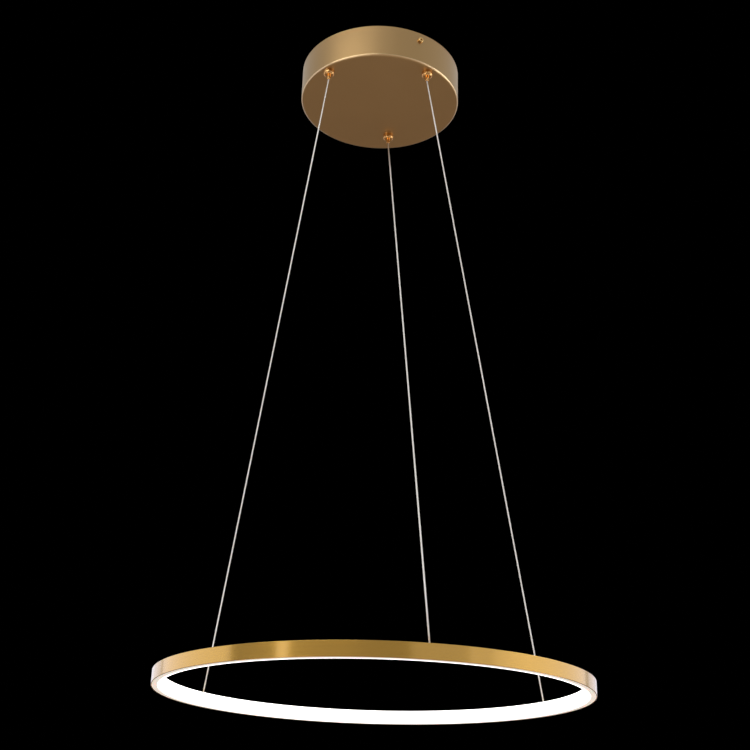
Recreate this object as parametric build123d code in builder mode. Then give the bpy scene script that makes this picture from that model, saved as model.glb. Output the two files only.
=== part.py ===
from build123d import *
import math
import os

# A ring light that hangs on three thin wires below a round ceiling canopy.
# Millimetres and degrees. The origin is on the ceiling, on the canopy's axis, with +Z up,
# +X to the right and +Y away from the viewer. Heights inside a gripper count from the
# canopy's underside.

os.makedirs("parts", exist_ok=True)

# ---- Driving sizes: canopy and the bar that holds it ----
canopy_radius = 131.0
canopy_height = 57.0
canopy_wall = 1.2
canopy_inner_round = 1.9    # inside the corner between floor and wall

bar_width = 30.0            # flat bar screwed to the ceiling, bent down at both ends
bar_thickness = 2.5
bar_angle = 118.6           # direction of the bar in plan, towards the two side screws
bar_clearance = 0.3         # between a bent end's corners and the canopy's inner face
tab_depth = 24.0            # how far the bent ends reach down from the ceiling

side_screw_depth = 14.2     # of the side screws below the ceiling
side_screw_radius = 2.0
side_screw_reach = 4.0      # of the side screw's tip past the inside of the bent end
side_head_radius = 4.2
side_head_height = 3.6
socket_radius = 1.9

ceiling_hole_spread = 80.0  # circle of the two ceiling screws' holes
ceiling_hole_radius = 2.75
cable_hole_radius = 6.0
cable_hole_place = -62.0    # along the bar, from the canopy's axis

cross_length = 3.4          # cross recess in the zinc plated screws
cross_width = 0.7
cross_depth = 1.1
screw_clearance = 0.3       # round a screw in a hole that it passes through
thread_gap = 0.05           # round a screw in its tapped hole
seat_gap = 0.02             # between a piece and the curved or sprung face that it seats on

# ---- Driving sizes: what hangs under the bar ----
driver_length = 104.0
driver_width = 36.0
driver_height = 23.0
driver_wall = 1.8
driver_lid_height = 3.0
driver_slot_width = 9.0     # for the leads, in both ends of the case
board_thickness = 1.6
board_lift = 4.0            # of the circuit board above the case's floor
board_margin = 0.9          # between the board and the case's walls
transformer_size = 18.0
transformer_height = 9.0
capacitor_radius = 6.0
capacitor_height = 10.0
small_screw_radius = 1.5
small_head_radius = 3.2
driver_screw_spread = 18.0

terminal_place = 72.0       # along the bar, from the canopy's axis
terminal_length = 30.0
terminal_width = 17.0
terminal_height = 14.0
terminal_pitch = 10.0
terminal_well_radius = 2.1
terminal_wire_radius = 1.4
terminal_screw_radius = 1.7
terminal_slot_width = 0.6
terminal_slot_depth = 0.8

earth_place = -84.0         # along the bar, from the canopy's axis
earth_screw_radius = 2.0
earth_head_radius = 3.8
earth_head_height = 2.4
earth_washer_radius = 5.0
earth_washer_thickness = 1.0

# ---- Driving sizes: grippers, one for each wire ----
gripper_insets = {"left": 11.7, "right": 14.5, "middle": 40.5}  # in from the canopy's outer wall
gripper_angles = {"left": 226.1, "right": 310.2, "middle": 79.5}
collar_radius = 8.75
collar_height = 8.0
collar_round = 3.4
shank_radius = 5.0
shank_height = 14.0
plunger_seat = 2.0          # height of the shoulder that stops the plunger
cone_start = -3.0           # height of the narrow end of the cone that wedges the balls
cone_room = (0.15, 0.5)     # between the plunger and the cone at its narrow and wide ends

nose_radius = 2.8           # release plunger
nose_length = 8.0           # below the collar
nose_round = 0.9
plunger_gap = 0.05          # between the plunger and the bore that guides it
plunger_flange_width = 0.85
plunger_flange_height = 1.5
wire_room = 0.3             # between the wire and the gripper's bores

ball_height = -2.0
ball_gap = 0.03
ball_hole_room = 0.1
ball_count = 3

spring_wall = 0.9
plug_height = 3.0
nut_wall = 2.0              # across the flats, beyond the shank
nut_height = 5.0
washer_width = 3.5
washer_thickness = 1.0
tail_reach = 12.0           # of the cut end of the wire above the gripper

# ---- Driving sizes: ring ----
drop = 950.0                # canopy underside to the top of the ring
ring_offset = 16.0          # the ring hangs this far to the right of the canopy's axis
ring_radius = 300.0
ring_width = 12.0
ring_height = 19.0
channel_wall = 1.2
channel_top = 1.5
channel_round = 0.4
lip_width = 3.0             # of the rib above the diffuser's underside, from the ring's outer face
lip_thickness = 1.2
hook_width = 0.8            # rib behind the diffuser's upper edge
hook_depth = 2.0
seam_angles = (198.3, 342.4)
seam_gap = 0.2

diffuser_wall = 1.5
diffuser_gap = 0.2          # between the diffuser and the channel
diffuser_round = 0.8
tongue_reach = 1.2          # of the diffuser over the channel's lower rib
tongue_thickness = 1.2

strip_thickness = 0.4
strip_glue = 0.15           # left for the glue behind the strip
strip_width = 10.0
strip_depth = 4.0           # of the strip's upper edge below the ring's top
strip_end_angle = 0.5       # from the seam to each end of the strip
led_count = 112
led_length = 3.5
led_width = 2.8
led_thickness = 0.8

splice_length = 44.0
splice_width = 6.0
splice_thickness = 2.5
splice_screw_radius = 1.25
splice_head_radius = 2.2
splice_socket_radius = 0.95
splice_socket_depth = 1.0
splice_spots = (-16.0, -7.0, 7.0, 16.0)

# ---- Driving sizes: wires ----
wire_radius = 1.0
anchor_angles = {"left": 149.0, "right": 30.5, "middle": 282.0}
eyelet_play = 1.2           # round the slanting wire
eyelet_wall = 0.6
eyelet_flange_width = 0.7
eyelet_flange_height = 0.7
stop_overlap = 0.8          # of the crimped stop past the eyelet's bore
stop_height = 5.0

# ---- Places worked out from the sizes above ----
canopy_underside = -canopy_height
canopy_bore = canopy_radius - canopy_wall
bar_reach = math.sqrt((canopy_bore - bar_clearance) ** 2 - (bar_width / 2) ** 2)
bar_direction = Vector(math.cos(math.radians(bar_angle)), math.sin(math.radians(bar_angle)), 0)
across_bar = Vector(-bar_direction.Y, bar_direction.X, 0)
side_screw_drop = Vector(0, 0, -side_screw_depth)
ring_top = canopy_underside - drop
ring_bottom = ring_top - ring_height
ring_inner = ring_radius - ring_width
ring_axis = Axis((ring_offset, 0, 0), (0, 0, 1))
channel_roof = ring_top - channel_top
channel_bore = ring_radius - channel_wall
hook_inner = ring_inner + diffuser_wall + diffuser_gap
hook_outer = hook_inner + hook_width
lip_low = ring_bottom + diffuser_wall + diffuser_gap
lip_top = lip_low + lip_thickness
strip_outer = channel_bore - strip_glue
anchor_radius = (hook_outer + strip_outer - strip_thickness) / 2
stop_top = channel_roof - eyelet_flange_height
nose_tip = -collar_height - nose_length
bore_radius = nose_radius + plunger_gap
upper_bore_radius = bore_radius + plunger_flange_width
plunger_bore = wire_radius + wire_room


def bar_plane(height):
    """A level plane on the canopy's axis, with its x along the bar."""
    return Plane(origin=(0, 0, height), x_dir=bar_direction, z_dir=(0, 0, 1))


def gripper_point(side, height=0.0):
    """A point on a gripper's axis, at a height above the canopy's underside."""
    reach = canopy_radius - gripper_insets[side]
    turn = math.radians(gripper_angles[side])
    return Vector(reach * math.cos(turn), reach * math.sin(turn), canopy_underside + height)


def gripper_section(side):
    """An upright plane through a gripper: x is the radius, y the height above the underside."""
    return Plane(origin=gripper_point(side), x_dir=(1, 0, 0), z_dir=(0, -1, 0))


def ring_plane(height, angle=0.0):
    """A level plane on the ring's axis, with its x towards an angle."""
    turn = math.radians(angle)
    return Plane(origin=(ring_offset, 0, height), x_dir=(math.cos(turn), math.sin(turn), 0), z_dir=(0, 0, 1))


def ring_section(angle):
    """An upright plane through the ring's axis: x is the radius, y the height above the ceiling."""
    turn = math.radians(angle)
    return Plane(
        origin=(ring_offset, 0, 0),
        x_dir=(math.cos(turn), math.sin(turn), 0),
        z_dir=(math.sin(turn), -math.cos(turn), 0),
    )


def splice_spot_angles():
    """The directions, from the ring's axis, of the screws at both seams."""
    steps = [math.degrees(spot / anchor_radius) for spot in splice_spots]
    return [seam + step for seam in seam_angles for step in steps]


def save(piece, name):
    """Label a finished piece and write it to its own file."""
    piece.label = name
    export_step(piece, f"parts/{name}.step")


# ---- Canopy: a drawn cup, open towards the ceiling, with three gripper holes in its floor ----
with BuildPart() as canopy_shell:
    with BuildSketch(Plane.XY.offset(canopy_underside)):
        Circle(canopy_radius)
    extrude(amount=canopy_height)
    fillet(canopy_shell.faces().sort_by(Axis.Z)[0].edges(), canopy_inner_round + canopy_wall)
    with BuildSketch(Plane.XY.offset(canopy_underside + canopy_wall)):
        Circle(canopy_bore)
    extrude(amount=canopy_height, mode=Mode.SUBTRACT)
    fillet(canopy_shell.faces().filter_by(Plane.XY).sort_by(Axis.Z)[1].edges(), canopy_inner_round)
    for side in gripper_angles:
        with BuildSketch(Plane(origin=gripper_point(side))):
            Circle(shank_radius + screw_clearance / 2)
        extrude(amount=canopy_wall, mode=Mode.SUBTRACT)
    with BuildSketch(Plane(origin=side_screw_drop, x_dir=(0, 0, 1), z_dir=bar_direction)):
        Circle(side_screw_radius + screw_clearance)
    extrude(amount=canopy_radius, both=True, mode=Mode.SUBTRACT)
save(canopy_shell.part, "canopy_shell")

# ---- Ceiling bar: flat steel, its two ends bent down and tapped for the side screws ----
with BuildPart() as ceiling_bar:
    with BuildSketch(bar_plane(0)):
        Rectangle(2 * bar_reach, bar_width)
    extrude(amount=-bar_thickness)
    with BuildSketch(bar_plane(0)):
        with GridLocations(2 * bar_reach - bar_thickness, 0, 2, 1):
            Rectangle(bar_thickness, bar_width)
    extrude(amount=-tab_depth)
    with BuildSketch(bar_plane(0)):
        with PolarLocations(ceiling_hole_spread / 2, 2):
            Circle(ceiling_hole_radius)
        with Locations((cable_hole_place, 0)):
            Circle(cable_hole_radius)
        with Locations((earth_place, 0)):
            Circle(earth_screw_radius + thread_gap)
        with Locations((terminal_place, 0)):
            with GridLocations(terminal_pitch, 0, 2, 1):
                Circle(small_screw_radius + thread_gap)
    extrude(amount=-bar_thickness, mode=Mode.SUBTRACT)
    with Locations(bar_plane(0)):
        with GridLocations(0, driver_screw_spread, 1, 2):
            CounterSinkHole(small_screw_radius + thread_gap, small_head_radius + thread_gap, counter_sink_angle=90)
    with BuildSketch(Plane(origin=side_screw_drop, x_dir=(0, 0, 1), z_dir=bar_direction)):
        Circle(side_screw_radius + thread_gap)
    extrude(amount=canopy_radius, both=True, mode=Mode.SUBTRACT)
save(ceiling_bar.part, "ceiling_bar")

# ---- Side screws: round heads with a hexagon socket, seen on the canopy's wall ----
side_head_seat = canopy_radius + seat_gap
side_screw_length = side_head_seat - (bar_reach - bar_thickness - side_screw_reach)
with BuildPart() as side_screws:
    for outward in (bar_direction, -bar_direction):
        seat = outward * side_head_seat + side_screw_drop
        head_face = seat + outward * side_head_height
        with BuildSketch(Plane(origin=seat, x_dir=(0, 0, 1), z_dir=outward)):
            Circle(side_screw_radius)
        extrude(amount=-side_screw_length)
        with BuildSketch(Plane(origin=seat, x_dir=(0, 0, 1), z_dir=outward)):
            Circle(side_head_radius)
        extrude(amount=side_head_height)
        fillet(side_screws.faces().sort_by_distance(head_face)[0].edges(), side_head_height / 4)
        with BuildSketch(Plane(origin=head_face, x_dir=(0, 0, 1), z_dir=outward)):
            RegularPolygon(socket_radius, 6)
        extrude(amount=-side_head_height / 2, mode=Mode.SUBTRACT)
save(side_screws.part, "side_screws")

# ---- Driver: a plastic case hung across the bar, with a lid that is screwed to the bar ----
driver_top = -bar_thickness
driver_seam = driver_top - driver_lid_height
driver_floor = driver_top - driver_height
with BuildPart() as driver_lid:
    with BuildSketch(bar_plane(driver_top)):
        RectangleRounded(driver_width, driver_length, 2 * driver_wall)
        with GridLocations(0, driver_screw_spread, 1, 2):
            Circle(small_screw_radius + thread_gap, mode=Mode.SUBTRACT)
    extrude(amount=-driver_lid_height)
save(driver_lid.part, "driver_lid")

with BuildPart() as driver_case:
    with BuildSketch(bar_plane(driver_floor)):
        RectangleRounded(driver_width, driver_length, 2 * driver_wall)
    extrude(amount=driver_seam - driver_floor)
    with BuildSketch(bar_plane(driver_floor + driver_wall)):
        RectangleRounded(driver_width - 2 * driver_wall, driver_length - 2 * driver_wall, driver_wall)
    extrude(amount=driver_seam - driver_floor, mode=Mode.SUBTRACT)
    with BuildSketch(bar_plane(driver_floor)):
        with GridLocations(driver_width / 2, 0.8 * driver_length, 2, 2):
            Circle(driver_wall)
    extrude(amount=board_lift)
    with BuildSketch(bar_plane(driver_seam)):
        Rectangle(driver_slot_width, driver_length)
    extrude(amount=-driver_lid_height, mode=Mode.SUBTRACT)
save(driver_case.part, "driver_case")

board_top = driver_floor + board_lift + board_thickness
board_inset = 2 * (driver_wall + board_margin)
with BuildPart() as driver_board:
    with BuildSketch(bar_plane(board_top)):
        Rectangle(driver_width - board_inset, driver_length - board_inset)
    extrude(amount=-board_thickness)
save(driver_board.part, "driver_board")

with BuildPart() as driver_transformer:
    with BuildSketch(bar_plane(board_top)):
        with Locations((0, -driver_length / 6)):
            Rectangle(transformer_size, transformer_size)
    extrude(amount=transformer_height)
save(driver_transformer.part, "driver_transformer")

with BuildPart() as driver_capacitor:
    with BuildSketch(bar_plane(board_top)):
        with Locations((0, driver_length / 4)):
            Circle(capacitor_radius)
    extrude(amount=capacitor_height)
save(driver_capacitor.part, "driver_capacitor")

with BuildPart() as driver_screws:
    with BuildSketch(bar_plane(0)):
        with GridLocations(0, driver_screw_spread, 1, 2):
            Circle(small_screw_radius)
    extrude(amount=driver_seam)
    with BuildSketch(bar_plane(0)):
        with GridLocations(0, driver_screw_spread, 1, 2):
            Circle(small_head_radius)
    extrude(amount=-(small_head_radius - small_screw_radius), taper=45)
    with BuildSketch(bar_plane(0)):
        with GridLocations(0, driver_screw_spread, 1, 2):
            Rectangle(cross_length, cross_width)
            Rectangle(cross_width, cross_length)
    extrude(amount=-cross_depth, mode=Mode.SUBTRACT)
save(driver_screws.part, "driver_screws")

# ---- Terminal block for the mains cable, its six sunk screws and the two that fix it ----
terminal_floor = -bar_thickness - terminal_height
terminal_middle = bar_direction * terminal_place
with BuildPart() as terminal_block:
    with BuildSketch(bar_plane(terminal_floor)):
        with Locations((terminal_place, 0)):
            Rectangle(terminal_length, terminal_width)
            with GridLocations(terminal_pitch, 0, 2, 1):
                Circle(small_screw_radius + thread_gap, mode=Mode.SUBTRACT)
    extrude(amount=terminal_height)
    with BuildSketch(bar_plane(terminal_floor)):
        with Locations((terminal_place, 0)):
            with GridLocations(terminal_pitch, terminal_width / 2, 3, 2):
                Circle(terminal_well_radius)
    extrude(amount=terminal_height / 2, mode=Mode.SUBTRACT)
    wire_level = terminal_middle + Vector(0, 0, terminal_floor + terminal_height / 5)
    with BuildSketch(Plane(origin=wire_level, x_dir=bar_direction, z_dir=across_bar)):
        with GridLocations(terminal_pitch, 0, 3, 1):
            Circle(terminal_wire_radius)
    extrude(amount=terminal_width, both=True, mode=Mode.SUBTRACT)
save(terminal_block.part, "terminal_block")

with BuildPart() as terminal_screws:
    with BuildSketch(bar_plane(terminal_floor + terminal_height / 2)):
        with Locations((terminal_place, 0)):
            with GridLocations(terminal_pitch, terminal_width / 2, 3, 2):
                Circle(terminal_screw_radius)
    extrude(amount=-terminal_screw_radius)
    with BuildSketch(bar_plane(terminal_floor + terminal_height / 2 - terminal_screw_radius)):
        with Locations((terminal_place, 0)):
            with GridLocations(terminal_pitch, terminal_width / 2, 3, 2):
                Rectangle(2 * terminal_screw_radius, terminal_slot_width)
    extrude(amount=terminal_slot_depth, mode=Mode.SUBTRACT)
save(terminal_screws.part, "terminal_screws")

with BuildPart() as terminal_fixings:
    with BuildSketch(bar_plane(terminal_floor)):
        with Locations((terminal_place, 0)):
            with GridLocations(terminal_pitch, 0, 2, 1):
                Circle(small_screw_radius)
    extrude(amount=-terminal_floor)
    with BuildSketch(bar_plane(terminal_floor)):
        with Locations((terminal_place, 0)):
            with GridLocations(terminal_pitch, 0, 2, 1):
                Circle(0.8 * small_head_radius)
    extrude(amount=-small_screw_radius)
    with BuildSketch(bar_plane(terminal_floor - small_screw_radius)):
        with Locations((terminal_place, 0)):
            with GridLocations(terminal_pitch, 0, 2, 1):
                Rectangle(cross_length, cross_width)
                Rectangle(cross_width, cross_length)
    extrude(amount=cross_depth, mode=Mode.SUBTRACT)
save(terminal_fixings.part, "terminal_fixings")

# ---- Earth screw and its washer under the bar ----
earth_seat = -bar_thickness - earth_washer_thickness
with BuildPart() as earth_washer:
    with BuildSketch(bar_plane(-bar_thickness)):
        with Locations((earth_place, 0)):
            Circle(earth_washer_radius)
            Circle(earth_screw_radius + screw_clearance, mode=Mode.SUBTRACT)
    extrude(amount=-earth_washer_thickness)
save(earth_washer.part, "earth_washer")

with BuildPart() as earth_screw:
    with BuildSketch(bar_plane(earth_seat)):
        with Locations((earth_place, 0)):
            Circle(earth_screw_radius)
    extrude(amount=-earth_seat)
    with BuildSketch(bar_plane(earth_seat)):
        with Locations((earth_place, 0)):
            Circle(earth_head_radius)
    extrude(amount=-earth_head_height)
    with BuildSketch(bar_plane(earth_seat - earth_head_height)):
        with Locations((earth_place, 0)):
            Rectangle(2 * earth_head_radius, earth_screw_radius / 2)
    extrude(amount=earth_head_height / 2, mode=Mode.SUBTRACT)
save(earth_screw.part, "earth_screw")


# ---- Grippers: a domed collar under the canopy, on a threaded shank that holds the works ----
def make_gripper_body(side):
    """The polished collar and its shank, bored for plunger, balls, spring and plug."""
    with BuildPart() as body:
        with BuildSketch(gripper_section(side)):
            Polygon(
                (bore_radius, -collar_height),
                (collar_radius, -collar_height),
                (collar_radius, 0),
                (shank_radius, 0),
                (shank_radius, shank_height),
                (upper_bore_radius, shank_height),
                (upper_bore_radius, plunger_seat),
                (bore_radius + cone_room[1], plunger_seat),
                (bore_radius + cone_room[0], cone_start),
                (bore_radius, cone_start),
                align=None,
            )
        revolve(axis=Axis(gripper_point(side), (0, 0, 1)))
        collar_edges = body.faces().sort_by(Axis.Z)[0].edges()
        fillet(collar_edges.sort_by(SortBy.RADIUS)[-1], collar_round)
    save(body.part, f"gripper_body_{side}")


def make_release_plunger(side):
    """The nose that is pushed up to free the wire, with a hole for each ball."""
    flange_low = plunger_seat + seat_gap
    flange_top = flange_low + plunger_flange_height
    flange_radius = upper_bore_radius - plunger_gap
    with BuildPart() as plunger:
        with BuildSketch(gripper_section(side)):
            Polygon(
                (plunger_bore, nose_tip),
                (nose_radius, nose_tip),
                (nose_radius, flange_low),
                (flange_radius, flange_low),
                (flange_radius, flange_top),
                (plunger_bore, flange_top),
                align=None,
            )
        revolve(axis=Axis(gripper_point(side), (0, 0, 1)))
        tip_edges = plunger.faces().sort_by(Axis.Z)[0].edges()
        fillet(tip_edges.sort_by(SortBy.RADIUS)[-1], nose_round)
        for turn in range(ball_count):
            outward = Vector(1, 0, 0).rotate(Axis.Z, turn * 360 / ball_count)
            with BuildSketch(Plane(origin=gripper_point(side, ball_height), x_dir=(0, 0, 1), z_dir=outward)):
                Circle(ball_radius + ball_hole_room)
            extrude(amount=2 * nose_radius, mode=Mode.SUBTRACT)
    save(plunger.part, f"release_plunger_{side}")


def make_gripper_balls(side):
    """The balls that the cone presses on the wire."""
    with BuildPart() as balls:
        with Locations(Plane(origin=gripper_point(side, ball_height))):
            with PolarLocations((wire_radius + cone_at_balls) / 2, ball_count):
                Sphere(ball_radius)
    save(balls.part, f"gripper_balls_{side}")


def make_gripper_spring(side):
    """The space that the plunger's coil spring fills, between plunger and plug."""
    low = plunger_seat + seat_gap + plunger_flange_height
    with BuildPart() as spring:
        with BuildSketch(Plane(origin=gripper_point(side, low))):
            Circle(plunger_bore + wire_room + spring_wall)
            Circle(plunger_bore + wire_room, mode=Mode.SUBTRACT)
        extrude(amount=shank_height - plug_height - low)
    save(spring.part, f"gripper_spring_{side}")


def make_gripper_plug(side):
    """The plug that closes the shank and carries the spring."""
    with BuildPart() as plug:
        with BuildSketch(Plane(origin=gripper_point(side, shank_height))):
            Circle(upper_bore_radius - seat_gap)
            Circle(plunger_bore, mode=Mode.SUBTRACT)
        extrude(amount=-plug_height)
    save(plug.part, f"gripper_plug_{side}")


def make_wire_tail(side):
    """The gripped end of a wire, straight up through the gripper into the canopy."""
    with BuildPart() as tail:
        with BuildSketch(Plane(origin=gripper_point(side, nose_tip))):
            Circle(wire_radius)
        extrude(amount=shank_height + tail_reach - nose_tip)
    save(tail.part, f"wire_tail_{side}")


cone_slope = (cone_room[1] - cone_room[0]) / (plunger_seat - cone_start)
cone_at_balls = bore_radius + cone_room[0] + cone_slope * (ball_height - cone_start)
ball_radius = (cone_at_balls - wire_radius) / 2 - ball_gap
for side in gripper_angles:
    make_gripper_body(side)
    make_release_plunger(side)
    make_gripper_balls(side)
    make_gripper_spring(side)
    make_gripper_plug(side)
    make_wire_tail(side)

washer_top = canopy_wall + washer_thickness
with BuildPart() as gripper_washers:
    for side in gripper_angles:
        with BuildSketch(Plane(origin=gripper_point(side, canopy_wall))):
            Circle(shank_radius + washer_width)
            Circle(shank_radius + screw_clearance / 2, mode=Mode.SUBTRACT)
        extrude(amount=washer_thickness)
save(gripper_washers.part, "gripper_washers")

with BuildPart() as gripper_nuts:
    for side in gripper_angles:
        with BuildSketch(Plane(origin=gripper_point(side, washer_top))):
            RegularPolygon(shank_radius + nut_wall, 6, major_radius=False)
            Circle(shank_radius + thread_gap, mode=Mode.SUBTRACT)
        extrude(amount=nut_height)
save(gripper_nuts.part, "gripper_nuts")


# ---- Ring channel: two rolled arcs of one section, which meet at the two seams ----
def make_ring_channel(name, start, stop):
    """One arc of the channel, with the holes for eyelets and splice screws that fall on it."""
    half_gap = math.degrees(seam_gap / 2 / ring_radius)
    with BuildPart() as channel:
        with BuildSketch(ring_section(start + half_gap)):
            Polygon(
                (ring_radius, ring_top),
                (ring_radius, ring_bottom),
                (channel_bore, ring_bottom),
                (channel_bore, lip_low),
                (ring_radius - lip_width, lip_low),
                (ring_radius - lip_width, lip_top),
                (channel_bore, lip_top),
                (channel_bore, channel_roof),
                (hook_outer, channel_roof),
                (hook_outer, channel_roof - hook_depth),
                (hook_inner, channel_roof - hook_depth),
                (hook_inner, ring_top),
                align=None,
            )
        revolve(axis=ring_axis, revolution_arc=stop - start - 2 * half_gap)
        outer_wall = channel.faces().filter_by(GeomType.CYLINDER).sort_by(SortBy.AREA)[-1]
        fillet(outer_wall.edges().filter_by(GeomType.CIRCLE), channel_round)
        for angle in anchor_angles.values():
            with BuildSketch(ring_plane(ring_top, angle)):
                with Locations((anchor_radius, 0)):
                    Circle(eyelet_outer + seat_gap)
            extrude(amount=-channel_top, mode=Mode.SUBTRACT)
        for angle in splice_spot_angles():
            with Locations(ring_plane(ring_top, angle)):
                with Locations((anchor_radius, 0)):
                    CounterSinkHole(
                        splice_screw_radius + thread_gap,
                        splice_head_radius + thread_gap,
                        depth=2 * channel_top,
                        counter_sink_angle=90,
                    )
    save(channel.part, name)


eyelet_bore = wire_radius + eyelet_play
eyelet_outer = eyelet_bore + eyelet_wall
make_ring_channel("ring_channel_front", seam_angles[0], seam_angles[1])
make_ring_channel("ring_channel_back", seam_angles[1], seam_angles[0] + 360)

# ---- Diffuser: the milky strip that is the ring's inner side and closes its underside ----
tongue_low = lip_top + diffuser_gap / 2
diffuser_outer = channel_bore - diffuser_gap
tongue_root = ring_radius - lip_width - diffuser_gap
with BuildPart() as diffuser:
    with BuildSketch(ring_section(0)):
        Polygon(
            (ring_inner, ring_top),
            (ring_inner + diffuser_wall, ring_top),
            (ring_inner + diffuser_wall, ring_bottom + diffuser_wall),
            (tongue_root - tongue_thickness, ring_bottom + diffuser_wall),
            (tongue_root - tongue_thickness, tongue_low + tongue_thickness),
            (tongue_root + tongue_reach, tongue_low + tongue_thickness),
            (tongue_root + tongue_reach, tongue_low),
            (tongue_root, tongue_low),
            (tongue_root, ring_bottom + diffuser_wall),
            (diffuser_outer, ring_bottom + diffuser_wall),
            (diffuser_outer, ring_bottom),
            (ring_inner, ring_bottom),
            align=None,
        )
    revolve(axis=ring_axis)
    lower_edges = diffuser.faces().sort_by(Axis.Z)[0].edges()
    fillet(lower_edges.sort_by(SortBy.RADIUS)[0], diffuser_round)
save(diffuser.part, "diffuser")

# ---- LED strip along the channel's side wall: stiff and flat behind each light package ----
strip_start = seam_angles[1] + strip_end_angle
led_pitch = (360 - 2 * strip_end_angle) / led_count
strip_top = ring_top - strip_depth
flat_share = math.cos(math.radians(led_pitch / 2))
strip_face = strip_outer * flat_share - strip_thickness
with BuildPart() as led_strip:
    with BuildSketch(ring_plane(strip_top)):
        bends = [math.radians(strip_start + number * led_pitch) for number in range(led_count + 1)]
        back = [(strip_outer * math.cos(bend), strip_outer * math.sin(bend)) for bend in bends]
        inner = strip_face / flat_share
        front = [(inner * math.cos(bend), inner * math.sin(bend)) for bend in reversed(bends)]
        Polygon(*back, *front, align=None)
    extrude(amount=-strip_width)
save(led_strip.part, "led_strip")

with BuildPart() as led_packages:
    with BuildSketch(ring_plane(strip_top - strip_width / 2 - led_width / 2, strip_start + led_pitch / 2)):
        with PolarLocations(strip_face - led_thickness / 2, led_count, angular_range=led_count * led_pitch):
            Rectangle(led_thickness, led_length)
    extrude(amount=led_width)
save(led_packages.part, "led_packages")


# ---- Splices: a curved bar under the channel's top at each seam, and their sunk screws ----
def make_splice_bar(name, seam):
    """One splice bar, tapped for the screws on both sides of its seam."""
    arc = math.degrees(splice_length / anchor_radius)
    with BuildPart() as bar:
        with BuildSketch(ring_section(seam - arc / 2)):
            Polygon(
                (anchor_radius - splice_width / 2, channel_roof),
                (anchor_radius + splice_width / 2, channel_roof),
                (anchor_radius + splice_width / 2, channel_roof - splice_thickness),
                (anchor_radius - splice_width / 2, channel_roof - splice_thickness),
                align=None,
            )
        revolve(axis=ring_axis, revolution_arc=arc)
        for spot in splice_spots:
            with BuildSketch(ring_plane(channel_roof, seam + math.degrees(spot / anchor_radius))):
                with Locations((anchor_radius, 0)):
                    Circle(splice_screw_radius + thread_gap)
            extrude(amount=-splice_thickness, mode=Mode.SUBTRACT)
    save(bar.part, name)


make_splice_bar("splice_bar_left", seam_angles[0])
make_splice_bar("splice_bar_right", seam_angles[1])

with BuildPart() as splice_screws:
    for angle in splice_spot_angles():
        with BuildSketch(ring_plane(ring_top, angle)):
            with Locations((anchor_radius, 0)):
                Circle(splice_screw_radius)
        extrude(amount=-(channel_top + splice_thickness))
        with BuildSketch(ring_plane(ring_top, angle)):
            with Locations((anchor_radius, 0)):
                Circle(splice_head_radius)
        extrude(amount=-(splice_head_radius - splice_screw_radius), taper=45)
        with BuildSketch(ring_plane(ring_top, angle)):
            with Locations((anchor_radius, 0)):
                RegularPolygon(splice_socket_radius, 6)
        extrude(amount=-splice_socket_depth, mode=Mode.SUBTRACT)
save(splice_screws.part, "splice_screws")

# ---- Eyelets in the channel's top, and the stops crimped on the wires' ends below them ----
with BuildPart() as eyelets:
    for angle in anchor_angles.values():
        with BuildSketch(ring_plane(ring_top, angle)):
            with Locations((anchor_radius, 0)):
                Circle(eyelet_outer)
                Circle(eyelet_bore, mode=Mode.SUBTRACT)
        extrude(amount=-channel_top)
        with BuildSketch(ring_plane(channel_roof, angle)):
            with Locations((anchor_radius, 0)):
                Circle(eyelet_outer + eyelet_flange_width)
                Circle(eyelet_bore, mode=Mode.SUBTRACT)
        extrude(amount=-eyelet_flange_height)
save(eyelets.part, "eyelets")

with BuildPart() as wire_stops:
    for angle in anchor_angles.values():
        with BuildSketch(ring_plane(stop_top, angle)):
            with Locations((anchor_radius, 0)):
                Circle(eyelet_bore + stop_overlap)
        extrude(amount=-stop_height)
save(wire_stops.part, "wire_stops")


# ---- Wires: straight and taut, from each gripper's nose to its stop in the ring ----
def make_wire(side):
    """A round wire that slants down, cut level at both ends so that it seats flat."""
    turn = math.radians(anchor_angles[side])
    top = gripper_point(side, nose_tip)
    low = Vector(ring_offset + anchor_radius * math.cos(turn), anchor_radius * math.sin(turn), stop_top)
    run = low - top
    slant = run.length / abs(run.Z)
    with BuildPart() as wire:
        with BuildSketch(Plane(origin=top, x_dir=(run.X, run.Y, 0), z_dir=(0, 0, 1))):
            Ellipse(wire_radius * slant, wire_radius)
        extrude(amount=run.length, dir=run.normalized())
    save(wire.part, f"suspension_wire_{side}")
    expected = math.pi * wire_radius**2 * run.length
    print(f"suspension_wire_{side}: straight, no radii, {run.length:.1f} mm long,", end=" ")
    print(f"volume {wire.part.volume:.1f} mm3 for {expected:.1f} expected")


for side in gripper_angles:
    make_wire(side)
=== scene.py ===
import math

import bmesh
import bpy
from mathutils import Matrix, Vector


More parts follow.
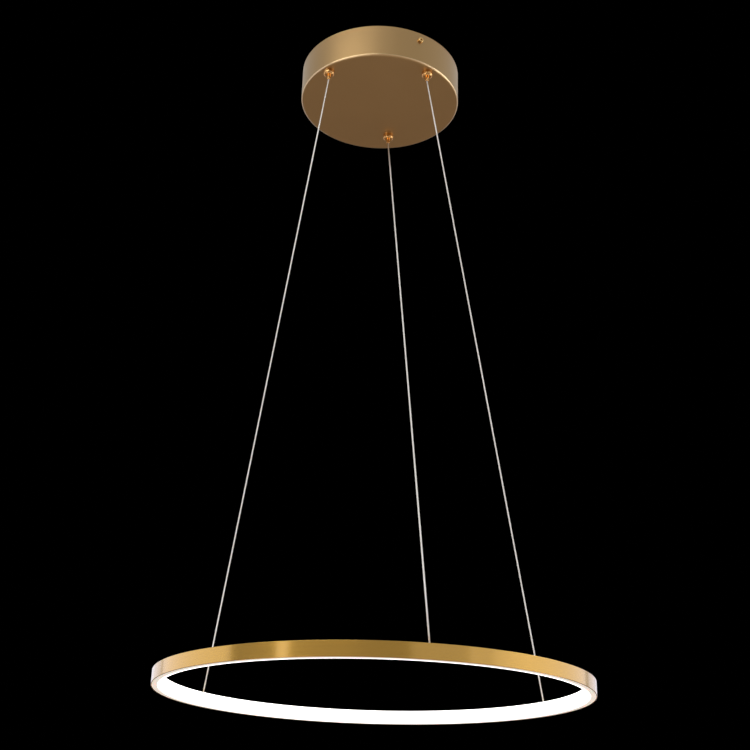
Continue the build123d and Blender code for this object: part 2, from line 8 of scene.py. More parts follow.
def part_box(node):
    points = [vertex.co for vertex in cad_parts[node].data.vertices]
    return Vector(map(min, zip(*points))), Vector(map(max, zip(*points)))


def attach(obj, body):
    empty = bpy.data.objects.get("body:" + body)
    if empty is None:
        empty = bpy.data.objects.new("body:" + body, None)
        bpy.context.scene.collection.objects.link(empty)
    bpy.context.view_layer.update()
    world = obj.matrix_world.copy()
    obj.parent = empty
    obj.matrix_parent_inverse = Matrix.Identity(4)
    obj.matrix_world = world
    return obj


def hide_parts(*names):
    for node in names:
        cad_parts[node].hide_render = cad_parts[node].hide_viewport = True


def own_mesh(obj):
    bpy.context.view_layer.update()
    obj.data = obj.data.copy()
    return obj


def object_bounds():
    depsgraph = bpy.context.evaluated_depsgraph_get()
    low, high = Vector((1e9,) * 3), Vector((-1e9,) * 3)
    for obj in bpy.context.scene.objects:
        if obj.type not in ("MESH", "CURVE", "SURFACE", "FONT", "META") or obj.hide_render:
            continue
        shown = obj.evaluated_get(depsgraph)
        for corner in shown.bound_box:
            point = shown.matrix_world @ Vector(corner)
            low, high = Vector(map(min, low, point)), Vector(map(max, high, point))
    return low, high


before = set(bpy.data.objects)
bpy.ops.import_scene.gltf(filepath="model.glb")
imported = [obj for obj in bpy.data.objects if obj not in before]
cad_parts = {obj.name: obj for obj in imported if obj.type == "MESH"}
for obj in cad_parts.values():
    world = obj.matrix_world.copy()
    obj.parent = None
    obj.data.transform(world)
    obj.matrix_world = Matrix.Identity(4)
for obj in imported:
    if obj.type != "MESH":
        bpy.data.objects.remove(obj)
cad_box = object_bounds()

# ---- Camera ----
# It stands in front of the light and a little lower than the ring, and looks up at the whole of it, tilted
# by a touch to one side.
camera_place = Vector((0.00538, -1.68085, -1.26835))
camera_pitch = 0.4037
camera_roll = 0.0287
camera_lens = 57.81
sensor_width = 36.0
camera = bpy.data.objects.new("camera", bpy.data.cameras.new("camera"))
camera.data.sensor_width = sensor_width
camera.data.lens = camera_lens
aim = Matrix.Rotation(math.pi / 2 + camera_pitch, 4, "X") @ Matrix.Rotation(camera_roll, 4, "Z")
camera.matrix_world = Matrix.Translation(camera_place) @ aim
bpy.context.scene.collection.objects.link(camera)
bpy.context.scene.camera = camera
bpy.context.scene.view_settings.view_transform = "Standard"

# ---- Room ----
# A pale room, a little brighter overhead, with a brown carpet round a pale floor, lights the object and
# shows in its metal. The camera sees it black, so that the white wires and the lit ring stand out.
room_tone = (1.0, 0.985, 0.93)
room_brightness = (0.4, 0.65)
carpet_tone = (0.2, 0.15, 0.11)
backdrop_tone = (0.0, 0.0, 0.0)
horizon = 0.0
floor_tone = (0.6, 0.52, 0.45)
floor_roughness = 0.9
floor_level = -2.4
floor_radius = 2.3
floor_corners = 96


def add_node(tree, kind, sockets=None, **settings):
    """A new node. Each socket gets a value, or a link if it is given another node's output."""
    made = tree.nodes.new(kind)
    for name, value in settings.items():
        setattr(made, name, value)
    for name, value in (sockets or {}).items():
        if isinstance(value, bpy.types.NodeSocket):
            tree.links.new(value, made.inputs[name])
        else:
            made.inputs[name].default_value = value
    return made


def reckon(tree, operation, *values):
    """One step of arithmetic with numbers or other nodes' outputs."""
    return add_node(tree, "ShaderNodeMath", dict(enumerate(values)), operation=operation).outputs[0]


def mix_colours(tree, mask, first, second):
    """The first colour where the mask is 0 and the second where it is 1."""
    return add_node(
        tree, "ShaderNodeMix", {"Factor": mask, 6: first, 7: second}, data_type="RGBA"
    ).outputs[2]


world = bpy.data.worlds.new("room")
bpy.context.scene.world = world
world.use_nodes = True
tree = world.node_tree
direction = add_node(tree, "ShaderNodeTexCoord").outputs["Generated"]
height = add_node(tree, "ShaderNodeSeparateXYZ", {0: direction}).outputs["Z"]
brightness = add_node(
    tree, "ShaderNodeMapRange",
    {"Value": height, "To Min": room_brightness[0], "To Max": room_brightness[1]},
)
lit_room = add_node(
    tree, "ShaderNodeVectorMath", {0: room_tone, "Scale": brightness.outputs["Result"]}, operation="SCALE"
)
below = reckon(tree, "LESS_THAN", height, horizon)
whole_room = mix_colours(tree, below, lit_room.outputs["Vector"], (*carpet_tone, 1.0))
seen_straight = add_node(tree, "ShaderNodeLightPath").outputs["Is Camera Ray"]
seen = mix_colours(tree, seen_straight, whole_room, (*backdrop_tone, 1.0))
tree.links.new(seen, tree.nodes["Background"].inputs["Color"])


def make_object(name, build):
    """An object in the scene with this finished mesh."""
    mesh = bpy.data.meshes.new(name)
    build.to_mesh(mesh)
    build.free()
    made = bpy.data.objects.new(name, mesh)
    bpy.context.scene.collection.objects.link(made)
    return made


floor_build = bmesh.new()
bmesh.ops.create_circle(floor_build, cap_ends=True, radius=floor_radius, segments=floor_corners)
bmesh.ops.translate(floor_build, verts=floor_build.verts, vec=(0, 0, floor_level))
floor = make_object("floor", floor_build)
floor_finish = bpy.data.materials.new("matt_floor")
floor_finish.use_nodes = True
shader = floor_finish.node_tree.nodes["Principled BSDF"]
shader.inputs["Base Color"].default_value = (*floor_tone, 1.0)
shader.inputs["Roughness"].default_value = floor_roughness
floor.data.materials.append(floor_finish)

# ---- Soft boxes ----
# Large soft boxes stand at the sides and behind, with narrow gaps between them that show as darker stripes
# near the ring's ends. A slim one in front on the left gives the bright patch on the ring's near side.
daylight = (1.0, 1.05, 1.35)
plain_white = (1.0, 1.0, 1.0)
watts_of_white = 4.0
band_box_distance = 2.6
band_box_height = -0.58
band_box_tallness = 1.0


def set_soft_box(name, colour, bearing, distance, height, size, brightness):
    """A soft box that points at the light, at a bearing in degrees from the camera's side. Brightness 1 is
    that of a white face, and takes watts_of_white for each square metre."""
    turn = math.radians(bearing)
    lamp = bpy.data.lights.new(name, "AREA")
    lamp.shape = "RECTANGLE"
    lamp.size, lamp.size_y = size
    lamp.energy = watts_of_white * brightness * size[0] * size[1]
    lamp.color = colour
    box = bpy.data.objects.new(name, lamp)
    place = Vector((distance * math.sin(turn), -distance * math.cos(turn), height))
    middle = (cad_box[0] + cad_box[1]) / 2
    turned = (place - middle).to_track_quat("Z", "Y").to_matrix().to_4x4()
    box.matrix_world = Matrix.Translation(place) @ turned
    box.visible_camera = False
    bpy.context.scene.collection.objects.link(box)


# The boxes that show in the ring's outer band stand round it at one distance and height. Each row holds a
# box's bearing, width and brightness.
for name, bearing, width, brightness in (
    ("slim_box", -43.3, 0.27, 0.85),
    ("left_box", -101.3, 2.9, 0.66),
    ("back_left_box", -149, 1.52, 0.45),
    ("back_right_box", 149, 1.52, 0.4),
    ("right_box", 93, 3.8, 0.62),
    ("right_card", 50.5, 0.5, 0.42),
    ("dim_card", 31.5, 1.4, 0.23),
):
    size = (width, band_box_tallness)
    set_soft_box(name, daylight, bearing, band_box_distance, band_box_height, size, brightness)
# High ones show in the canopy's wall, and low ones light the wires, the grippers and the canopy's underside.
# Each row holds a box's bearing, distance, height, width and tallness, and brightness.
for name, bearing, distance, height, size, brightness in (
    ("high_left_box", -38, 1.7, 0.5, (1.8, 0.5), 3.3),
    ("high_right_box", 90, 1.7, 0.0, (1.2, 0.4), 3.2),
    ("high_front_box", 0, 3.0, 2.4, (2.0, 1.0), 0.12),
    ("low_left_box", -48, 2.4, -1.95, (1.6, 0.6), 2.6),
    ("low_right_box", 92, 2.4, -1.95, (1.6, 0.6), 2.6),
):
    set_soft_box(name, plain_white, bearing, distance, height, size, brightness)

# ---- Canopy shell ----
# A cup drawn from thin steel and sprayed outside with a satin gold lacquer under a clear coat. A painted
# highlight, a lighter gold, lies on the rounded bottom edge; the lacquer is drier on the underside, and
# inside only a speckled overspray covers the grey steel.
gold_lacquer_colour = (0.45, 0.285, 0.12)
# Painted highlight: the lighter gold laid on the canopy's rounded bottom edge.
painted_rim_highlight_colour = (0.85, 0.62, 0.34)
edge_start = (-0.02, -0.2)
edge_end = (-0.85, -0.65)
underside_facing = -0.99
underside_roughness = 0.5
grey_steel_colour = (0.42, 0.42, 0.41)
inward_limit = -0.0001
inner_floor_facing = 0.5
overspray_grains = 900.0
overspray_edge = (0.42, 0.52)
thinnest_bareness = 0.1


def new_effect(name, inputs, outputs):
    """An empty node group with these inputs and their values, and these outputs, and its two end nodes."""
    tree = bpy.data.node_groups.new(name, "ShaderNodeTree")
    for socket, value in inputs.items():
        kind = "NodeSocketColor" if isinstance(value, tuple) else "NodeSocketFloat"
        tree.interface.new_socket(socket, in_out="INPUT", socket_type=kind).default_value = value
    for socket in outputs:
        kind = "NodeSocketColor" if socket == "Color" else "NodeSocketFloat"
        tree.interface.new_socket(socket, in_out="OUTPUT", socket_type=kind)
    return tree, add_node(tree, "NodeGroupInput"), add_node(tree, "NodeGroupOutput")


def find_place(tree):
    """The place on the object of the point being shaded."""
    return add_node(tree, "ShaderNodeTexCoord").outputs["Object"]


# Most of a noise pattern's values lie in this middle stretch, and vary round its middle.
noise_stretch = (0.35, 0.65)
noise_middle = 0.5


def vary_surface(tree, given, result, pattern, relief):
    """Turns one pattern from 0 to 1 into the group's three outputs: tone, roughness and height."""
    centred = reckon(tree, "SUBTRACT", pattern, noise_middle)
    tone = reckon(tree, "MULTIPLY_ADD", centred, given.outputs["Tone Change"], 1.0)
    coloured = add_node(
        tree, "ShaderNodeVectorMath", {0: given.outputs["Color"], "Scale": tone}, operation="SCALE"
    )
    rough = add_node(
        tree, "ShaderNodeMapRange",
        {
            "Value": pattern, "From Min": noise_stretch[0], "From Max": noise_stretch[1],
            "To Min": given.outputs["Smoothest"], "To Max": given.outputs["Roughest"],
        },
    )
    tree.links.new(coloured.outputs["Vector"], result.inputs["Color"])
    tree.links.new(rough.outputs["Result"], result.inputs["Roughness"])
    tree.links.new(relief, result.inputs["Height"])


# Fine grain: small speckles over slow clouds, in tone, in roughness and as a slight relief.
clouds_per_metre = 14.0
cloud_share = 0.45
surface_outputs = ("Color", "Roughness", "Height")
fine_grain, given, result = new_effect(
    "fine_grain",
    {
        "Color": (0.5, 0.5, 0.5, 1.0), "Tone Change": 0.1, "Grains per Metre": 2000.0,
        "Smoothest": 0.3, "Roughest": 0.4,
    },
    surface_outputs,
)
place = find_place(fine_grain)
speckle = add_node(
    fine_grain, "ShaderNodeTexNoise",
    {"Vector": place, "Scale": given.outputs["Grains per Metre"], "Detail": 2.0},
).outputs["Fac"]
cloud = add_node(
    fine_grain, "ShaderNodeTexNoise", {"Vector": place, "Scale": clouds_per_metre, "Detail": 3.0}
).outputs["Fac"]
blend = add_node(fine_grain, "ShaderNodeMix", {"Factor": cloud_share, "A": speckle, "B": cloud})
vary_surface(fine_grain, given, result, blend.outputs["Result"], speckle)


def start_finish(name, **plain):
    """A material with plain values on its shader's own sockets."""
    finish = bpy.data.materials.new(name)
    finish.use_nodes = True
    shader = finish.node_tree.nodes["Principled BSDF"]
    for socket, value in plain.items():
        shader.inputs[socket.replace("_", " ")].default_value = value
    return finish


def add_effect(finish, effect, values, relief=0.0):
    """Lets an effect drive a material's colour and roughness, and its surface by a relief in metres."""
    tree = finish.node_tree
    shader = tree.nodes["Principled BSDF"]
    made = add_node(tree, "ShaderNodeGroup", values, node_tree=effect)
    tree.links.new(made.outputs["Color"], shader.inputs["Base Color"])
    tree.links.new(made.outputs["Roughness"], shader.inputs["Roughness"])
    if relief:
        bump = add_node(tree, "ShaderNodeBump", {"Distance": relief, "Height": made.outputs["Height"]})
        tree.links.new(bump.outputs["Normal"], shader.inputs["Normal"])
    return made


def dress(finish, *names):
    """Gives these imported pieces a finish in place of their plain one."""
    for name in names:
        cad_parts[name].material_slots[0].material = finish


gold_lacquer = start_finish(
    "satin_gold_lacquer", Metallic=1.0, Coat_Weight=0.5, Coat_Roughness=0.25, Coat_IOR=1.5
)
lacquer = add_effect(
    gold_lacquer, fine_grain,
    {
        "Color": (*gold_lacquer_colour, 1.0), "Tone Change": 0.12, "Grains per Metre": 1800.0,
        "Smoothest": 0.34, "Roughest": 0.42,
    },
    relief=0.000004,
)
tree = gold_lacquer.node_tree
shader = tree.nodes["Principled BSDF"]
place = add_node(tree, "ShaderNodeTexCoord")
facing = add_node(tree, "ShaderNodeSeparateXYZ", {0: place.outputs["Normal"]}).outputs["Z"]

# The overspray: on the wall's inner side, which faces the canopy's axis, and on the cup's inner floor.
flat_place = add_node(
    tree, "ShaderNodeVectorMath", {0: place.outputs["Object"], 1: (1, 1, 0)}, operation="MULTIPLY"
)
outward = add_node(
    tree, "ShaderNodeVectorMath", {0: flat_place.outputs["Vector"], 1: place.outputs["Normal"]},
    operation="DOT_PRODUCT",
)
inner_wall = reckon(tree, "LESS_THAN", outward.outputs["Value"], inward_limit)
inner_floor = reckon(tree, "GREATER_THAN", facing, inner_floor_facing)
inside = reckon(tree, "MAXIMUM", inner_wall, inner_floor)
spray = add_node(
    tree, "ShaderNodeTexNoise", {"Vector": place.outputs["Object"], "Scale": overspray_grains, "Detail": 3.0}
)
bare = add_node(
    tree, "ShaderNodeMapRange",
    {
        "Value": spray.outputs["Fac"], "From Min": overspray_edge[0], "From Max": overspray_edge[1],
        "To Min": thinnest_bareness, "To Max": 1.0,
    },
)
bare_inside = reckon(tree, "MULTIPLY", inside, bare.outputs["Result"])

# The rounded edge, which gets a painted highlight: it starts below the wall and ends above the flat
# underside.
below_wall = add_node(
    tree, "ShaderNodeMapRange",
    {"Value": facing, "From Min": edge_start[0], "From Max": edge_start[1]}, interpolation_type="SMOOTHSTEP",
)
above_underside = add_node(
    tree, "ShaderNodeMapRange",
    {"Value": facing, "From Min": edge_end[0], "From Max": edge_end[1]}, interpolation_type="SMOOTHSTEP",
)
rim_highlight_mask = reckon(tree, "MULTIPLY", below_wall.outputs["Result"], above_underside.outputs["Result"])
# Painted highlight: the rounded edge takes the lighter gold in place of the lacquer's colour.
rim_highlighted_colour = mix_colours(tree, rim_highlight_mask, lacquer.outputs["Color"], (*painted_rim_highlight_colour, 1.0))
two_tone = mix_colours(tree, bare_inside, rim_highlighted_colour, (*grey_steel_colour, 1.0))
tree.links.new(two_tone, shader.inputs["Base Color"])
underside = reckon(tree, "LESS_THAN", facing, underside_facing)
drier = add_node(
    tree, "ShaderNodeMix", {"Factor": underside, "A": lacquer.outputs["Roughness"], "B": underside_roughness}
)
tree.links.new(drier.outputs["Result"], shader.inputs["Roughness"])
dress(gold_lacquer, "canopy_shell")

# ---- Side screws ----
# Small turned brass screws with a hexagon socket, polished and plated to go with the canopy. They pass
# through its wall into the bent ends of the ceiling bar. The same finish is on the earth and splice screws.
gold_screw_colour = (0.82, 0.54, 0.22)


def make_grained(name, colour, tone_change, grains, roughness, relief=0.0, **plain):
    """A material in one colour with fine grain, from its smoothest to its roughest."""
    finish = start_finish(name, **plain)
    add_effect(
        finish, fine_grain,
        {
            "Color": (*colour, 1.0), "Tone Change": tone_change, "Grains per Metre": grains,
            "Smoothest": roughness[0], "Roughest": roughness[1],
        },
        relief,
    )
    return finish


gold_screw = make_grained(
    "gold_screw", gold_screw_colour, tone_change=0.1, grains=900.0, roughness=(0.06, 0.12), Metallic=1.0
)
dress(gold_screw, "side_screws")

# ---- Ceiling bar ----
# Flat steel, rolled, bent at both ends and zinc plated, screwed to the ceiling. The plating keeps the lines
# that the rolls left along the bar and has a faint blue and yellow cast.
bar_angle = math.radians(118.6)
zinc_colour = (0.56, 0.57, 0.57)
zinc_cast = (0.62, 0.6, 0.5)
cast_patches_per_metre = 35.0

# Brushed lines: long fine streaks that run square to the direction in which Across counts.
streak_changes_per_metre = 12.0
brushed_lines, given, result = new_effect(
    "brushed_lines",
    {
        "Color": (0.5, 0.5, 0.5, 1.0), "Tone Change": 0.1, "Across": 0.0, "Lines per Metre": 2500.0,
        "Smoothest": 0.25, "Roughest": 0.4,
    },
    surface_outputs,
)
slow_place = add_node(
    brushed_lines, "ShaderNodeVectorMath", {0: find_place(brushed_lines), "Scale": streak_changes_per_metre},
    operation="SCALE",
)
slow = add_node(brushed_lines, "ShaderNodeSeparateXYZ", {0: slow_place.outputs["Vector"]})
fast = reckon(brushed_lines, "MULTIPLY", given.outputs["Across"], given.outputs["Lines per Metre"])
stretched = add_node(
    brushed_lines, "ShaderNodeCombineXYZ", {"X": slow.outputs["X"], "Y": slow.outputs["Y"], "Z": fast}
)
lines = add_node(
    brushed_lines, "ShaderNodeTexNoise",
    {"Vector": stretched.outputs["Vector"], "Scale": 1.0, "Detail": 3.0, "Roughness": 0.6},
).outputs["Fac"]
vary_surface(brushed_lines, given, result, lines, lines)

zinc = start_finish("rolled_zinc", Metallic=1.0)
tree = zinc.node_tree
place = find_place(tree)
across = add_node(
    tree, "ShaderNodeVectorMath", {0: place, 1: (-math.sin(bar_angle), math.cos(bar_angle), 0)},
    operation="DOT_PRODUCT",
)
patches = add_node(
    tree, "ShaderNodeTexNoise", {"Vector": place, "Scale": cast_patches_per_metre, "Detail": 2.0}
)
add_effect(
    zinc, brushed_lines,
    {
        "Color": mix_colours(tree, patches.outputs["Fac"], (*zinc_colour, 1.0), (*zinc_cast, 1.0)),
        "Tone Change": 0.3, "Across": across.outputs["Value"], "Lines per Metre": 1600.0,
        "Smoothest": 0.26, "Roughest": 0.42,
    },
    relief=0.00001,
)
dress(zinc, "ceiling_bar")

# ---- Zinc plated screws, nuts and washers ----
# Stock steel fixings, tumbled in the plating drum, so they are evenly bright with small dull spots. They
# hold the driver and the terminal block, and lock the grippers inside the canopy.
bright_zinc = make_grained(
    "bright_zinc", zinc_colour, tone_change=0.3, grains=1100.0, roughness=(0.2, 0.4), relief=0.000008,
    Metallic=1.0,
)
dress(bright_zinc, "driver_screws", "terminal_screws", "terminal_fixings", "gripper_washers", "gripper_nuts")

# ---- Driver ----
# It turns mains into low voltage for the ring: a moulded white case and lid, and inside a green circuit
# board with copper tracks that carries a transformer wound in yellow tape and a capacitor in a dark sleeve.
case_white = (0.76, 0.76, 0.74)
board_green = (0.02, 0.13, 0.05)
track_green = (0.05, 0.27, 0.09)
tape_yellow = (0.7, 0.5, 0.08)
sleeve_black = (0.02, 0.025, 0.05)
track_spacing = 0.0025
track_width = track_spacing / 8
track_run = 4 * track_spacing
white_case = make_grained(
    "moulded_white_case", case_white, tone_change=0.08, grains=1500.0, roughness=(0.45, 0.6), relief=0.00003,
    Subsurface_Weight=0.05, Subsurface_Scale=0.001,
)
dress(white_case, "driver_case", "driver_lid")

board = start_finish("green_circuit_board")
tree = board.node_tree
turned = add_node(
    tree, "ShaderNodeMapping", {"Vector": find_place(tree), "Rotation": (0, 0, -bar_angle)}
)
tracks = add_node(
    tree, "ShaderNodeTexBrick",
    {
        "Vector": turned.outputs["Vector"], "Color1": (*board_green, 1.0), "Color2": (*board_green, 1.0),
        "Mortar": (*track_green, 1.0), "Scale": 1.0, "Mortar Size": track_width,
        "Brick Width": track_run, "Row Height": track_spacing,
    },
)
add_effect(
    board, fine_grain,
    {
        "Color": tracks.outputs["Color"], "Tone Change": 0.15, "Grains per Metre": 900.0,
        "Smoothest": 0.25, "Roughest": 0.35,
    },
)
dress(board, "driver_board")

tape = start_finish("yellow_tape")
tree = tape.node_tree
height = add_node(tree, "ShaderNodeSeparateXYZ", {0: find_place(tree)}).outputs["Z"]
add_effect(
    tape, brushed_lines,
    {
        "Color": (*tape_yellow, 1.0), "Tone Change": 0.5, "Across": height, "Lines per Metre": 900.0,
        "Smoothest": 0.2, "Roughest": 0.35,
    },
    relief=0.00004,
)
dress(tape, "driver_transformer")

sleeve = make_grained("dark_sleeve", sleeve_black, tone_change=0.3, grains=700.0, roughness=(0.2, 0.3))
dress(sleeve, "driver_capacitor")

# ---- Terminal block and earth screw ----
# The block is moulded in a milky, slightly waxy plastic and fixed under the bar by two screws. The mains
# earth goes under a brass screw and washer of its own at the bar's other end.
block_white = (0.72, 0.72, 0.68)
milky_block = make_grained(
    "milky_block", block_white, tone_change=0.08, grains=500.0, roughness=(0.3, 0.45), relief=0.00002,
    Subsurface_Weight=0.25, Subsurface_Scale=0.002,
)
dress(milky_block, "terminal_block")
dress(gold_screw, "earth_screw", "earth_washer")

# ---- Grippers ----
# Three turned brass fittings, polished and plated copper-gold. In each, a nose that is pushed up frees
# three hard steel balls from a cone, and a coil spring under the closing plug pushes it back down.
copper_gold_colour = (0.84, 0.48, 0.18)
hard_steel_colour = (0.55, 0.55, 0.56)
spring_wire_radius = 0.0003
spring_play = spring_wire_radius / 2
spring_turns = 5.5
spring_steps = 24
spring_sides = 10
copper_gold = make_grained(
    "copper_gold", copper_gold_colour, tone_change=0.08, grains=600.0, roughness=(0.1, 0.16), Metallic=1.0
)
hard_steel = make_grained(
    "hard_steel", hard_steel_colour, tone_change=0.08, grains=600.0, roughness=(0.15, 0.25), Metallic=1.0
)


def add_ring(build, centre, first, second, sides):
    """A ring of vertices round a centre, with its two half-widths given as vectors."""
    turns = [2 * math.pi * side / sides for side in range(sides)]
    return [build.verts.new(centre + first * math.cos(turn) + second * math.sin(turn)) for turn in turns]


def skin_rings(build, rings):
    """A closed tube through rings of vertices, with flat ends."""
    for first, second in zip(rings, rings[1:]):
        for k in range(len(first)):
            after = (k + 1) % len(first)
            build.faces.new((first[k], first[after], second[after], second[k])).smooth = True
    build.faces.new(rings[0])
    build.faces.new(reversed(rings[-1]))
    bmesh.ops.recalc_face_normals(build, faces=build.faces)


def make_spring(name, low, high):
    """A coil spring that fills the height of its sleeve, wound just inside the sleeve's outer side."""
    axis = (low + high) / 2
    coil_radius = (high.x - low.x) / 2 - spring_wire_radius - spring_play
    rise = high.z - low.z - 2 * spring_wire_radius
    upright = Vector((0, 0, spring_wire_radius))
    build = bmesh.new()
    rings = []
    count = round(spring_turns * spring_steps)
    for step in range(count + 1):
        turn = 2 * math.pi * step / spring_steps
        outward = Vector((math.cos(turn), math.sin(turn), 0))
        on_axis = Vector((axis.x, axis.y, low.z + spring_wire_radius + rise * step / count))
        centre = on_axis + outward * coil_radius
        rings.append(add_ring(build, centre, outward * spring_wire_radius, upright, spring_sides))
    skin_rings(build, rings)
    return make_object(name, build)


for side in ("left", "right", "middle"):
    dress(copper_gold, f"gripper_body_{side}", f"release_plunger_{side}", f"gripper_plug_{side}")
    dress(hard_steel, f"gripper_balls_{side}")
    sleeve_low, sleeve_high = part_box(f"gripper_spring_{side}")
    spring = make_spring(f"coil_spring_{side}", sleeve_low, sleeve_high)
    spring.data.materials.append(hard_steel)
    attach(spring, "canopy")
    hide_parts(f"gripper_spring_{side}")
    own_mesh(spring)

# ---- Ring channel ----
# Aluminium rolled to two arcs of one section, brushed along its length and anodised in a brass tone. The
# brushing runs round the ring, so that highlights stand upright on its side.
brass_colour = (0.62, 0.355, 0.062)
ring_offset = 0.016
brass = start_finish(
    "brushed_brass", Metallic=1.0, Anisotropic=0.8, Anisotropic_Rotation=0.25, Coat_Weight=0.6,
    Coat_Roughness=0.1, Coat_IOR=1.5,
)
tree = brass.node_tree


def place_on_ring(tree):
    """The level way from the ring's axis to a point, its length, and the point's height."""
    place = find_place(tree)
    from_axis = add_node(
        tree, "ShaderNodeVectorMath", {0: place, 1: (ring_offset, 0, 0)}, operation="SUBTRACT"
    )
    level = add_node(
        tree, "ShaderNodeVectorMath", {0: from_axis.outputs["Vector"], 1: (1, 1, 0)}, operation="MULTIPLY"
    )
    radius = add_node(tree, "ShaderNodeVectorMath", {0: level.outputs["Vector"]}, operation="LENGTH")
    height = add_node(tree, "ShaderNodeSeparateXYZ", {0: place})
    return level.outputs["Vector"], radius.outputs["Value"], height.outputs["Z"]


level, radius, height = place_on_ring(tree)
square_to_level = add_node(tree, "ShaderNodeVectorMath", {0: (0, 0, 1), 1: level}, operation="CROSS_PRODUCT")
round_way = add_node(
    tree, "ShaderNodeVectorMath", {0: square_to_level.outputs["Vector"]}, operation="NORMALIZE"
)
add_effect(
    brass, brushed_lines,
    {
        "Color": (*brass_colour, 1.0), "Tone Change": 0.15, "Across": reckon(tree, "ADD", radius, height),
        "Lines per Metre": 2600.0, "Smoothest": 0.21, "Roughest": 0.27,
    },
    relief=0.0000015,
)
tree.links.new(round_way.outputs["Vector"], tree.nodes["Principled BSDF"].inputs["Tangent"])
dress(brass, "ring_channel_front", "ring_channel_back")

# ---- Splices and their screws ----
# Short curved bars of plain drawn aluminium bridge the two seams under the channel's top, each held by four
# sunk brass screws.
aluminium_colour = (0.72, 0.73, 0.74)
plain_aluminium = make_grained(
    "plain_aluminium", aluminium_colour, tone_change=0.15, grains=1500.0, roughness=(0.3, 0.45),
    relief=0.00001, Metallic=1.0,
)
dress(plain_aluminium, "splice_bar_left", "splice_bar_right")
dress(gold_screw, "splice_screws")

# ---- LED strip ----
# A white flexible circuit glued inside the channel's side wall. Each light package on it is a small frame
# filled with yellow phosphor gel that glows.
strip_colour = (0.82, 0.82, 0.8)
phosphor_colour = (0.9, 0.72, 0.2)
phosphor_glow = (1.0, 0.95, 0.85)
strip_white = make_grained(
    "strip_white", strip_colour, tone_change=0.06, grains=1200.0, roughness=(0.35, 0.5)
)
dress(strip_white, "led_strip")
phosphor = make_grained(
    "phosphor_gel", phosphor_colour, tone_change=0.2, grains=2500.0, roughness=(0.2, 0.35),
    Emission_Color=(*phosphor_glow, 1.0), Emission_Strength=1.0,
)
dress(phosphor, "led_packages")

# ---- Diffuser ----
# Milky plastic, extruded and bent, that clips over the channel's lower rib. The light packages face the
# ring's middle, so its inner side is the brightest and the underside dims and warms towards the outer wall.
opal_colour = (0.8, 0.79, 0.76)
full_glow = (1.0, 0.985, 0.96)
dim_glow = (0.165, 0.155, 0.135)
ring_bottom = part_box("diffuser")[0].z
underside_depth = 0.001
bright_radius = 0.2905
dim_radius = 0.292
opal = make_grained(
    "opal", opal_colour, tone_change=0.03, grains=1500.0, roughness=(0.35, 0.45), relief=0.000003,
    Emission_Strength=2.6, Subsurface_Weight=0.2, Subsurface_Scale=0.002,
)
tree = opal.node_tree
level, radius, height = place_on_ring(tree)
fading = add_node(
    tree, "ShaderNodeMapRange", {"Value": radius, "From Min": bright_radius, "From Max": dim_radius},
    interpolation_type="SMOOTHSTEP",
)
underside = reckon(tree, "LESS_THAN", height, ring_bottom + underside_depth)
faded = reckon(tree, "MULTIPLY", fading.outputs["Result"], underside)
glow = mix_colours(tree, faded, (*full_glow, 1.0), (*dim_glow, 1.0))
tree.links.new(glow, tree.nodes["Principled BSDF"].inputs["Emission Color"])
dress(opal, "diffuser")

# ---- Eyelets, stops and wires ----
# Each wire is a steel strand in a thin milky jacket, pulled straight by the ring's weight from a gripper's
# nose to a copper-gold eyelet. A crimped stop holds its end in the eyelet, and when the ring is lifted the
# wire bends at the eyelet's lip.
jacket_colour = (0.97, 0.95, 0.89)
wire_radius = 0.001
wire_sides = 24
anchor_radius = 0.294375
anchor_angles = {"left": 149.0, "right": 30.5, "middle": 282.0}
strands = 6
strand_lay = 0.012
valley_shade = 0.9
route_order = 3
dress(copper_gold, "eyelets")
dress(hard_steel, "wire_stops")
wire_jacket = start_finish("wire_jacket", Coat_Weight=1.0, Coat_Roughness=0.25)
tree = wire_jacket.node_tree
map_of_wire = add_node(tree, "ShaderNodeUVMap", uv_map="along_wire").outputs["UV"]
on_wire = add_node(tree, "ShaderNodeSeparateXYZ", {0: map_of_wire})
strands_round = 2 * math.pi * strands
twist = reckon(tree, "MULTIPLY", on_wire.outputs["Y"], strands_round / strand_lay)
phase = reckon(tree, "MULTIPLY_ADD", on_wire.outputs["X"], strands_round, twist)
shade = add_node(
    tree, "ShaderNodeMapRange",
    {"Value": reckon(tree, "SINE", phase), "From Min": -1.0, "To Min": valley_shade, "To Max": 1.0},
)
milky = add_node(
    tree, "ShaderNodeVectorMath", {0: jacket_colour, "Scale": shade.outputs["Result"]}, operation="SCALE"
)
add_effect(
    wire_jacket, fine_grain,
    {
        "Color": milky.outputs["Vector"], "Tone Change": 0.05, "Grains per Metre": 600.0,
        "Smoothest": 0.25, "Roughest": 0.35,
    },
)


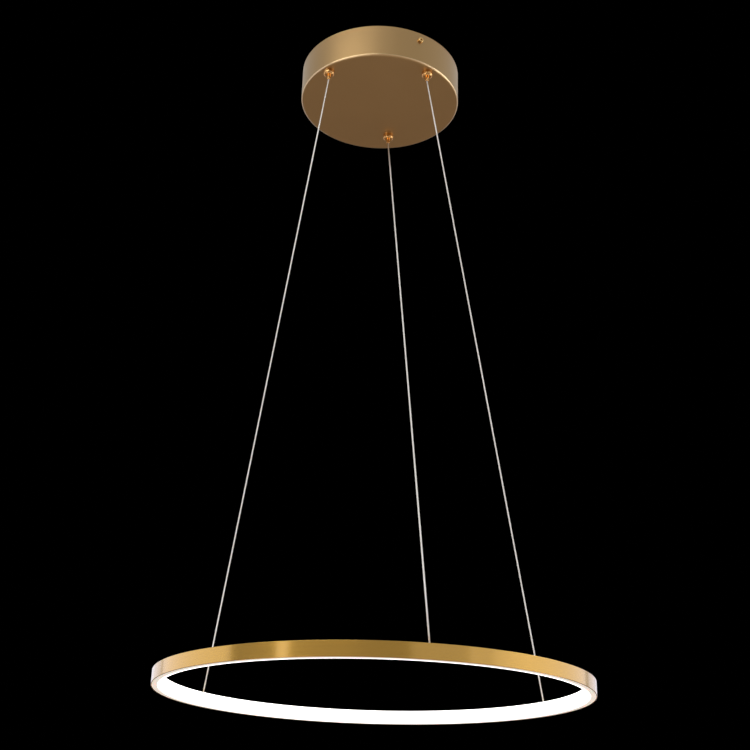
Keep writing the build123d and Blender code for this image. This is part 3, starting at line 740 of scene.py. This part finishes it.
def read_route(points):
    """The points that a route's spline runs through, from one end to the other."""
    curve = bpy.data.curves.new("route", "CURVE")
    curve.dimensions = "3D"
    spline = curve.splines.new("NURBS")
    spline.points.add(len(points) - 1)
    for spot, point in zip(spline.points, points):
        spot.co = (*point, 1.0)
    spline.order_u = route_order
    spline.use_endpoint_u = True
    holder = bpy.data.objects.new("route", curve)
    line = bpy.data.meshes.new_from_object(holder)
    path = [vertex.co.copy() for vertex in line.vertices]
    bpy.data.objects.remove(holder)
    bpy.data.curves.remove(curve)
    bpy.data.meshes.remove(line)
    return path


def make_wire(name, path):
    """A straight round wire, cut level at both ends, with a map of its turns and its length."""
    run = path[-1] - path[0]
    slant = run.length / abs(run.z)
    along = Vector((run.x, run.y, 0)).normalized()
    across = Vector((-along.y, along.x, 0))
    build = bmesh.new()
    half_along = along * wire_radius * slant
    half_across = across * wire_radius
    rings = [add_ring(build, centre, half_along, half_across, wire_sides) for centre in path]
    skin_rings(build, rings)
    layer = build.loops.layers.uv.new("along_wire")
    build.verts.index_update()
    for face in build.faces:
        turns = [loop.vert.index % wire_sides for loop in face.loops]
        wraps = len(turns) == 4 and max(turns) - min(turns) > 1
        for loop, turn in zip(face.loops, turns):
            around = wire_sides if wraps and turn == 0 else turn
            length = (path[loop.vert.index // wire_sides] - path[0]).length
            loop[layer].uv = (around / wire_sides, length)
    made = make_object(name, build)
    made.data.materials.append(wire_jacket)
    return made


stop_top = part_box("wire_stops")[1].z
eyelet_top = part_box("eyelets")[1].z
for side, angle in anchor_angles.items():
    dress(wire_jacket, f"wire_tail_{side}")
    tail_low, tail_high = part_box(f"wire_tail_{side}")
    mouth = Vector(((tail_low.x + tail_high.x) / 2, (tail_low.y + tail_high.y) / 2, tail_low.z))
    turn = math.radians(angle)
    anchor = Vector((ring_offset + anchor_radius * math.cos(turn), anchor_radius * math.sin(turn), stop_top))
    lip = mouth.lerp(anchor, (mouth.z - eyelet_top) / (mouth.z - stop_top))
    wire_end = make_wire(f"wire_end_{side}", read_route([lip, anchor]))
    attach(wire_end, "ring")
    path = read_route([mouth, lip])
    wire = make_wire(f"wire_{side}", path)
    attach(wire, "canopy")
    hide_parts(f"suspension_wire_{side}")
    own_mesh(wire)
